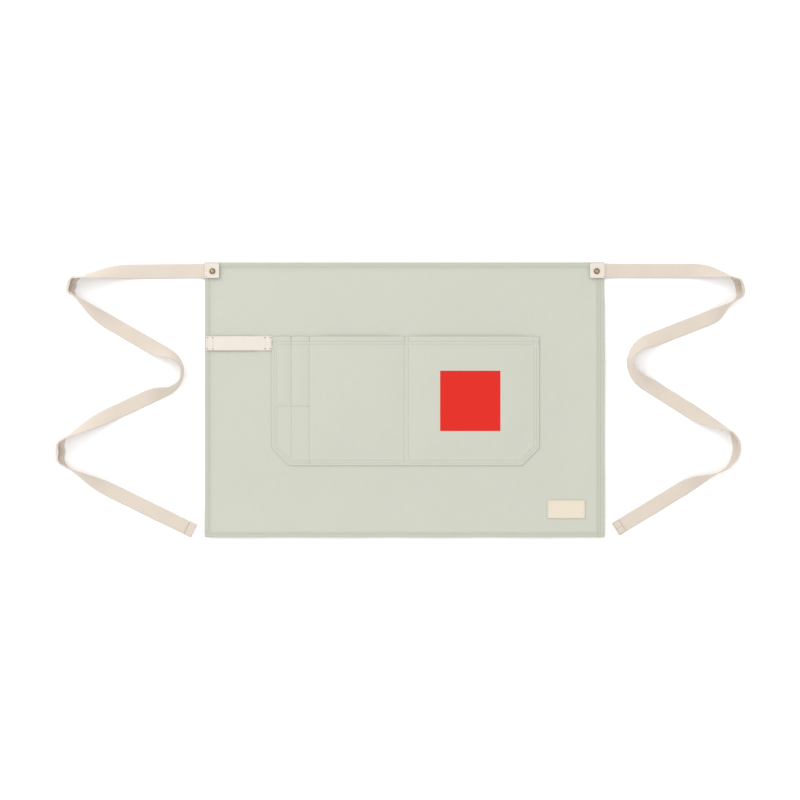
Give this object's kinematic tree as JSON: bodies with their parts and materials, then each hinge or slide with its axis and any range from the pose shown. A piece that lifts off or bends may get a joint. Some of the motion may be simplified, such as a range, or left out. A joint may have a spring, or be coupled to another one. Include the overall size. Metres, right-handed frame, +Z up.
{
  "type": "waist apron",
  "caption": "Canvas waist apron lying flat, with a divided kangaroo pocket, pen slots, a towel loop and tape ties riveted at the waist corners.",
  "frame": {"origin": "middle of the panel's underside, on the surface that the apron lies on", "axes": "+Z up out of the front of the apron as it lies, +Y towards the waist edge, +X towards the right tie as seen from above"},
  "size_m": [1.1929, 0.484, 0.025],
  "materials": {
    "canvas": "pale sage cotton canvas, plain weave",
    "webbing": "cream cotton webbing, smooth",
    "tape": "unbleached cotton tape, fine twill",
    "rivet_brass": "antique brass, worn bright on the crown",
    "label_cloth": "cream cloth patch"
  },
  "bodies": {
    "root": {"apron_panel": "canvas", "pocket_panel": "canvas", "towel_loop": "webbing", "left_tie": "tape", "right_tie": "tape", "left_tab": "webbing", "right_tab": "webbing", "left_rivet": "rivet_brass", "right_rivet": "rivet_brass", "label": "label_cloth"}
  },
  "joints": []
}
